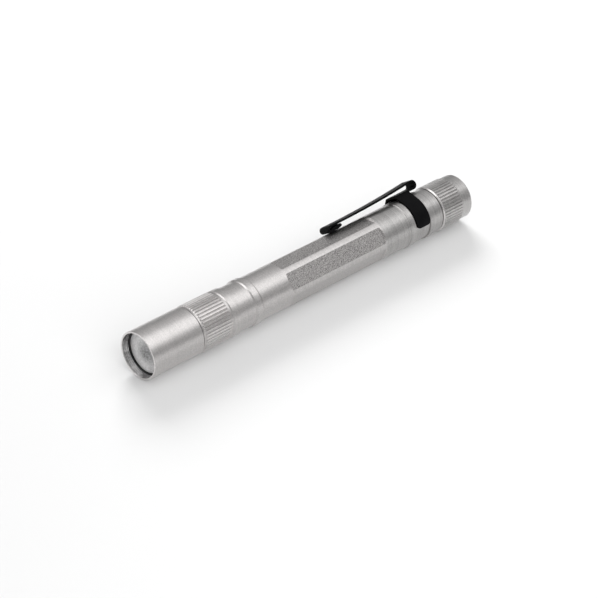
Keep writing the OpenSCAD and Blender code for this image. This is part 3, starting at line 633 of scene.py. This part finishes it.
def bodyTube(t):
    # The radius at (u, angle) is the turned profile's, and between the ends of the
    # flats the softened lesser of it and level / cos(angle from the flat's middle); the
    # level falls by the cut over a short ramp at either end, as a round cutter leaves it.
    # On a thread it rises by depth x wave(u / pitch + angle / turn), a helix. The wave
    # has a crest and two flanks, each a share of the pitch.
    rows, angles = tubeRows(t), tubeAngles(t)
    u, r, angle = np.broadcast_arrays(rows[:, :1], rows[:, 1:], angles)
    span = 2 * math.pi / t["flats"]
    fromMiddle = (angle - math.radians(t["flatRoll"]) + span / 2) % span - span / 2
    fromEnd = np.minimum(u - t["flatStart"], t["flatEnd"] - u) / t["flatRamp"]
    flat = (t["body"] - t["flatCut"] * np.clip(fromEnd, 0, 1)) / np.cos(fromMiddle)
    soft = t["flatSoft"]
    lesser = -soft * np.logaddexp(-r / soft, -flat / soft)
    inFlats = (u > t["flatStart"] - hair / 2) & (u < t["flatEnd"] + hair / 2)
    r = np.where(inFlats, lesser, r)
    fromCrest = np.abs((u / t["pitch"] + angle / (2 * math.pi)) % 1 - 0.5)
    wave = np.clip(1 + (t["crestShare"] / 2 - fromCrest) / t["flankShare"], 0, 1)
    for start, end in (t["frontThread"], t["rearThread"]):
        fade = np.minimum(u - start, end - u) / (t["threadFade"] * t["pitch"])
        r = r + t["threadDepth"] * wave * np.clip(fade, 0, 1)
    piece = addPiece("body_tube_turned", toRow(u, r, angle),
                     gridFaces(len(rows), len(angles), True, True), aluminium, "tube",
                     ["body_tube"], sharp=28)
    u, out, angle = faceMiddles(piece)
    outside = out > t["spigot"]
    cut = outside & (out < t["body"] - 2 * hair)
    onFlats = cut & (u > t["flatStart"]) & (u < t["flatEnd"])
    # Flats below the middle take the lighter, smoother copy: painted light for the floor they
    # mirror.
    moreMaterials(piece, (milledAluminium, onFlats),
                  (floorLitAluminium, onFlats & (np.abs(angle) > math.pi / 2)),
                  # Behind the flats the darker copy: painted shade towards the tail.
                  (ringedShadedAluminium, outside & (u > t["flatEnd"])))


bodyTube(tube)
print("tube done")


# Tail

cap = {"start": 114.0, "radius": 7.05, "chamfer": 0.35, "land": 7.02, "fluteDepth": 0.33,
       "bandStart": 114.5, "bandEnd": 122.2, "fluteStart": 0.04, "bandSlope": [-0.15, 0.1, 0.2],
       "step": 6.77, "end": 126.2, "socket": 6.3, "seat": 120.3, "chamber": 5.8,
       "wall": 124.4, "hole": 3.6, "holeChamfer": 0.15}


def tailCap(c):
    # As the head: a closed outline with flutes in its band, which slopes to the step.
    floor = c["land"] - c["fluteDepth"]
    slope = c["bandEnd"] + np.array(c["bandSlope"])
    rows = [(c["start"], c["socket"], 0.03),
            (c["start"], c["radius"] - c["chamfer"], 0.04),
            (c["start"] + c["chamfer"], c["radius"], 0.05),
            (c["bandStart"], c["radius"], 0.03),
            (c["bandStart"] + c["fluteStart"], c["land"], 0.02, floor),
            (slope[0], c["land"], 0.08, floor),
            (slope[1], c["step"] + 2 * hair, 0.05, floor), (slope[2], c["step"], 0.04),
            (c["end"] - c["chamfer"], c["step"], 0.1),
            (c["end"], c["step"] - c["chamfer"], 0.1),
            (c["end"], c["hole"] + c["holeChamfer"], 0.05),
            (c["end"] - c["holeChamfer"], c["hole"], 0.05),
            (c["wall"], c["hole"], 0.03), (c["wall"], c["chamber"], 0.03),
            (c["seat"], c["chamber"], 0.03), (c["seat"], c["socket"], 0.03)]
    # The cap's colour is the darker copy: painted shade towards the tail.
    piece = flutedPiece("tail_cap_turned", rows, ringedShadedAluminium, "tail", "tail_cap")
    u, out = faceMiddles(piece)[:2]
    rim = c["chamfer"] + 3 * hair
    moreMaterials(piece, (facedAluminium, (u < c["start"] + rim) & (out > c["radius"] - rim)))


tailCap(cap)

button = {"front": 123.4, "flange": 4.5, "flangeBevel": [0.1, 0.05], "seal": 124.1,
          "radius": 3.5, "foot": 0.05, "end": 127.6, "dome": 0.75, "domePower": 2.6,
          "rings": 24, "around": 96}


def tailButton(b):
    # A flange and a stem with a domed end: the dome's height falls by (q / r)^domePower.
    q = b["radius"] * np.cos(np.linspace(0, math.pi / 2, b["rings"]))
    fall = b["dome"] * (q / b["radius"]) ** b["domePower"]
    frontBevel, backBevel = b["flangeBevel"]
    stem = np.array([[b["front"], 0.0], [b["front"], b["flange"] - frontBevel],
                     [b["front"] + frontBevel, b["flange"]],
                     [b["seal"] - backBevel, b["flange"]],
                     [b["seal"], b["flange"] - backBevel],
                     [b["seal"], b["radius"] + b["foot"]],
                     [b["seal"] + b["foot"], b["radius"]]])
    outline = np.vstack([stem, np.stack([b["end"] - fall, q], axis=1)])
    turnedPiece("tail_button_moulded", outline, b["around"], False, buttonRubber, "button",
                "tail_button")


tailButton(button)
print("tail done")


# Clip

# The heights foldH, low and roof are out from the tube's axis. Behind the nose the toe
# runs level for toeFlat, and turns up by toeRise over toeRun.
clip = {"roll": 34, "thickness": 0.6, "bandFront": 102.6, "bandWidth": 5.5, "wrap": 116,
        "ring": 7.05, "roof": 7.9, "cornerRadius": 1.2, "bladeWidth": 4.5, "foldU": 110.6,
        "foldH": 9.05, "foldMid": 1.15, "tipU": 76.6, "low": 8.8, "flat": 2.0,
        "noseRadius": 0.775, "toeFlat": 1.6, "toeRun": 3.0, "toeRise": 0.7, "toePower": 1.1,
        "toeRound": [1.1, 1.0], "swell": 0.48, "swellFrom": 0.5, "swellTo": 5.0,
        "swellSlope": 1.0, "legShort": 0.4, "legUnder": 0.004, "edgeRound": 0.12,
        "foldSteps": 40, "bladeSteps": 60, "noseSteps": 24, "toeSteps": 10, "arcSteps": 60,
        "stripRows": 230, "bandRows": 220, "easeRows": 5, "blendFrom": 9.0,
        "blendOver": 0.9, "blendLean": 0.1}


def clipToRow(u, h, side):
    # h along the clip's direction, side across it, both from the tube's axis:
    # y = h sin(roll) - side cos(roll), z = h cos(roll) + side sin(roll).
    roll = math.radians(clip["roll"])
    y = h * math.sin(roll) - side * math.cos(roll)
    z = h * math.cos(roll) + side * math.sin(roll)
    return np.stack([frontX + u / 1000, axisY + y / 1000, axisZ + z / 1000], axis=-1)


def sheetLoop(thickness, corner, steps=6):
    # The sheet's section, a quarter circle at each corner. A point has its side (1 or
    # -1), its place across from that side's edge and its height from the middle.
    turn = np.linspace(0, math.pi / 2, steps)
    parts = []
    for side, up in ((1, 1), (-1, 1), (-1, -1), (1, -1)):
        inset = side * corner * (np.cos(turn) - 1)
        height = up * (thickness / 2 + corner * (np.sin(turn) - 1))
        parts.append(np.stack([np.full(steps, side), inset, height])[:, ::side * up])
    return np.hstack(parts)


def sweptFaces(rows, columns, first=0):
    # The quads of a section carried along a line, and a face over either end.
    start = list(range(first, first + columns))
    end = [(rows - 1) * columns + k for k in reversed(start)]
    return gridFaces(rows, columns, False, True, first) + [start, end]


def resample(path, count):
    # The same line with its points spaced evenly, and how far along it each one is.
    step = np.linalg.norm(np.diff(path, axis=0), axis=1)
    along = np.concatenate([[0], np.cumsum(step)])
    at = np.linspace(0, along[-1], count)
    return np.stack([np.interp(at, along, path[:, k]) for k in range(2)], axis=1), at


def lineNormals(path):
    # The tangent turned a quarter: (-dy, dx) / length.
    tangent = np.gradient(path, axis=0)
    tangent /= np.linalg.norm(tangent, axis=1, keepdims=True)
    return np.stack([-tangent[:, 1], tangent[:, 0]], axis=1)


def arcPoints(middle, radius, start, end, count):
    # middle + radius (cos, sin) of even steps between two angles.
    turn = np.linspace(start, end, count)
    return np.stack([middle[0] + radius * np.cos(turn), middle[1] + radius * np.sin(turn)],
                    axis=1)


def halfWidths(width, distance, run, narrow):
    # width / 2, less narrow (1 - sqrt(1 - e^2)) near an end; e is 1 at the end and 0
    # from run on.
    e = 1 - np.clip(distance / run, 0, 1)
    return width / 2 - narrow * (1 - np.sqrt(1 - e ** 2))


def clipStrip(c, loop):
    # Toe, nose, blade, fold and leg: one line in (u, h), with the sheet's section
    # carried along it. The blade rises with the square of the way to the fold, so the
    # fold starts at the slope 2 rise / run; the toe rises with k^toePower.
    flatEnd = c["tipU"] + c["flat"]
    slope = math.atan(2 * (c["foldMid"] + c["foldH"] - c["low"]) / (c["foldU"] - flatEnd))
    fold = arcPoints((c["foldU"], c["foldH"]), c["foldMid"], math.pi / 2 + slope,
                     -math.pi / 2, c["foldSteps"])
    s = np.linspace(0, 1, c["bladeSteps"])[:-1]
    blade = np.stack([flatEnd + (fold[0, 0] - flatEnd) * s,
                      c["low"] + (fold[0, 1] - c["low"]) * s * s], axis=1)
    noseH = c["low"] - c["noseRadius"]
    nose = arcPoints((c["tipU"], noseH), c["noseRadius"], 3 * math.pi / 2, math.pi / 2,
                     c["noseSteps"])
    k = np.linspace(1, 0, c["toeSteps"])[:-1]
    toe = np.stack([c["tipU"] + c["toeFlat"] + c["toeRun"] * k,
                    noseH - c["noseRadius"] + c["toeRise"] * k ** c["toePower"]], axis=1)
    leg = [[c["bandFront"] + c["bandWidth"] - c["legShort"], c["roof"] - c["legUnder"]]]
    path, at = resample(np.vstack([toe, nose, blade, fold, leg]), c["stripRows"])
    normal = lineNormals(path)
    side, inset, height = loop
    across = side * halfWidths(c["bladeWidth"], at, *c["toeRound"])[:, None] + inset
    # The toe's inner face is pressed up towards the blade by a swell with sloped ends.
    fromEnd = np.minimum(at - c["swellFrom"], c["swellTo"] - at) / c["swellSlope"]
    swell = c["swell"] * np.clip(fromEnd, 0, 1)[:, None]
    through = height - swell * (height < 0)
    return clipToRow(path[:, :1] + normal[:, :1] * through,
                     path[:, 1:] + normal[:, 1:] * through, across)


def clipBand(c, loop):
    # A line in (h, side) round the tube: two arcs, and between them the raised roof
    # with a flank from either of its edges, which meets its arc as a tangent, at the
    # edge's angle + acos(ring / edge's distance). The edges are a quarter of the sheet
    # inside the blade's, and the corners are eased by averaging.
    roof, halfRoof = c["roof"], c["bladeWidth"] / 2 - c["thickness"] / 4
    touch = math.atan2(halfRoof, roof) + math.acos(c["ring"] / math.hypot(roof, halfRoof))
    arc = arcPoints((0, 0), c["ring"], math.radians(c["wrap"]), touch, c["arcSteps"])
    mirror = np.array([1, -1])
    edge = np.array([[roof, halfRoof]])
    path, at = resample(np.vstack([arc, edge, edge * mirror, arc[::-1] * mirror]),
                        c["bandRows"])
    ease = np.ones(c["easeRows"]) / c["easeRows"]
    margin = c["easeRows"] // 2
    eased = np.stack([np.convolve(np.pad(path[:, k], margin, mode="edge"), ease, "valid")
                      for k in range(2)], axis=1)
    path[2 * margin:-2 * margin] = eased[2 * margin:-2 * margin]
    normal = lineNormals(path)
    side, inset, height = loop
    fromEnd = np.minimum(at, at[-1] - at)
    half = halfWidths(c["bandWidth"], fromEnd, c["cornerRadius"], c["cornerRadius"])
    across = side * half[:, None] + inset
    return clipToRow(c["bandFront"] + c["bandWidth"] / 2 + across,
                     path[:, :1] + normal[:, :1] * height, path[:, 1:] + normal[:, 1:] * height)


def clipSheet(c):
    # One folded sheet: the strip from the toe to the leg and the band round the tube,
    # in one mesh.
    loop = sheetLoop(c["thickness"], c["edgeRound"])
    strip, band = clipStrip(c, loop), clipBand(c, loop)
    columns = loop.shape[1]
    faces = sweptFaces(len(strip), columns) + sweptFaces(len(band), columns, len(strip) * columns)
    piece = addPiece("clip_folded_sheet", np.vstack([strip, band]), faces, blackOxide, None,
                     ["clip_band", "clip_blade"], sharp=50, recalc=True)
    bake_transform(piece)


clipSheet(clip)
print("clip done")


# Pieces that keep their CAD shape

finishes = {"front_oring": blackRubber, "rear_oring": blackRubber, "lens_seal": blackRubber,
            "button_seal": blackRubber, "led_carrier": brass, "front_contact": brass,
            "switch_ring": brass, "led_board": whiteBoard, "led_emitter": phosphor,
            "led_gasket": whitePlastic, "lead_wires": wireRed, "driver_board": greenBoard,
            "switch_board": greenBoard, "driver_parts": darkParts,
            "battery_front": cellWrap, "battery_rear": cellWrap,
            "switch_housing": blackPlastic, "switch_plunger": ivoryPlastic,
            "tail_spring": springWire}
for name, material in finishes.items():
    nodes[name].data.materials.clear()
    nodes[name].data.materials.append(material)
print("CAD pieces finished:", len(finishes))


# Table, light and camera (metres)

# The top lies a hair under the part, or the two would share a plane.
table = {"half": 1.6, "top": -0.00002, "colour": "#D3D3D3", "lift": 0.06, "mirrorLift": 0.24}
mesh = bpy.data.meshes.new("table_top")
side, top = table["half"], table["top"]
mesh.from_pydata([(-side, -side, top), (side, -side, top), (side, side, top),
                  (-side, side, top)], [], [(0, 1, 2, 3)])
floor = bpy.data.objects.new("table_top", mesh)
bpy.context.scene.collection.objects.link(floor)

# White paper sweep: matte, and lifted to white where the camera sees it. A reflection
# sees it lifted more, which keeps the underside of the metal pale.
paper = bpy.data.materials.new("paper_white_matte")
paper.use_nodes = True
tree = paper.node_tree
tree.nodes.clear()
matte = addNode(tree, "ShaderNodeBsdfDiffuse", values={"Color": linearFromHex(table["colour"])})
path = addNode(tree, "ShaderNodeLightPath")
direct = addNode(tree, "ShaderNodeMath", operation="MULTIPLY", values={1: table["lift"]},
                 links={0: path.outputs["Is Camera Ray"]})
amount = addNode(tree, "ShaderNodeMath", operation="MULTIPLY_ADD",
                 values={1: table["mirrorLift"]},
                 links={0: path.outputs["Is Glossy Ray"], 2: direct.outputs[0]})
glow = addNode(tree, "ShaderNodeEmission", links={"Strength": amount.outputs[0]})
both = addNode(tree, "ShaderNodeAddShader",
               links={0: matte.outputs[0], 1: glow.outputs[0]})
addNode(tree, "ShaderNodeOutputMaterial", links={"Surface": both.outputs[0]})
mesh.materials.append(paper)

# The room is a pale tent. Matt surfaces get the even light of all its walls; metal
# shows the walls themselves, dimmer at their foot than at the top, and dimmest at the
# foot of the far one. The camera sees it white.
room = {"even": 0.42, "wallFoot": 0.38, "farFoot": 0.24, "farSpan": [0.5, 0.8], "top": 0.98}
world = bpy.data.worlds.new("studio_room")
bpy.context.scene.world = world
world.use_nodes = True
tree = world.node_tree
tree.nodes.clear()
toward = addNode(tree, "ShaderNodeSeparateXYZ", links={
    "Vector": addNode(tree, "ShaderNodeTexCoord").outputs["Generated"]})
foot = addNode(tree, "ShaderNodeMapRange", links={"Value": toward.outputs["Y"]},
               values={"From Min": room["farSpan"][0], "From Max": room["farSpan"][1],
                       "To Min": room["wallFoot"], "To Max": room["farFoot"]})
height = addNode(tree, "ShaderNodeMapRange", values={"To Max": room["top"]},
                 links={"Value": toward.outputs["Z"], "To Min": foot.outputs["Result"]})
path = addNode(tree, "ShaderNodeLightPath")
level = addNode(tree, "ShaderNodeMix", values={3: room["even"]},
                links={0: path.outputs["Is Diffuse Ray"], 2: height.outputs["Result"]})
seen = addNode(tree, "ShaderNodeMath", operation="MAXIMUM",
               links={0: level.outputs[0], 1: path.outputs["Is Camera Ray"]})
tent = addNode(tree, "ShaderNodeBackground", values={"Color": linearFromHex("#FFFFFF")},
               links={"Strength": seen.outputs[0]})
addNode(tree, "ShaderNodeOutputWorld", links={"Surface": tent.outputs[0]})

# The overhead box is the long highlight in the metal, and the side box shows only in
# the edges that face the front. Nothing mirrors the other two: the front box keeps the
# paper pale where the part touches it, and the rear box draws the shadow.
boxes = {"overhead_box": {"place": (0.12, -0.17, 0.46), "size": (0.52, 0.52), "power": 1.08,
                          "mirrored": True, "lights": True},
         "side_box": {"place": (-0.46, 0.23, 0.45), "size": (0.46, 0.46), "power": 1.4,
                      "mirrored": True, "lights": False},
         "front_box": {"place": (-0.20, -0.55, 0.30), "size": (0.60, 0.60), "power": 3.4,
                       "mirrored": False, "lights": True},
         "rear_box": {"place": (0.40, 0.70, 0.43), "size": (0.52, 0.36), "power": 9.4,
                      "mirrored": False, "lights": True}}
for name, look in boxes.items():
    lamp = bpy.data.lights.new(name, "AREA")
    lamp.shape = "RECTANGLE"
    lamp.size, lamp.size_y = look["size"]
    lamp.energy = look["power"]
    box = bpy.data.objects.new(name, lamp)
    bpy.context.scene.collection.objects.link(box)
    box.location = look["place"]
    box.rotation_mode = "QUATERNION"
    box.rotation_quaternion = (-Vector(look["place"])).to_track_quat("-Z", "Y")
    box.visible_camera = False
    box.visible_glossy = look["mirrored"]
    box.visible_diffuse = look["lights"]

view = {"focal": 179.96, "sensor": 36, "place": (-0.5032, -0.5291, 0.4659),
        "look": (0.5787, 0.6114, -0.5397)}
lensData = bpy.data.cameras.new("photo_camera")
lensData.lens = view["focal"]
lensData.sensor_width = view["sensor"]
camera = bpy.data.objects.new("photo_camera", lensData)
bpy.context.scene.collection.objects.link(camera)
camera.location = view["place"]
camera.rotation_mode = "QUATERNION"
camera.rotation_quaternion = Vector(view["look"]).to_track_quat("-Z", "Y")
bpy.context.scene.camera = camera
bpy.context.scene.view_settings.view_transform = "Standard"
print("table, lights and camera set")
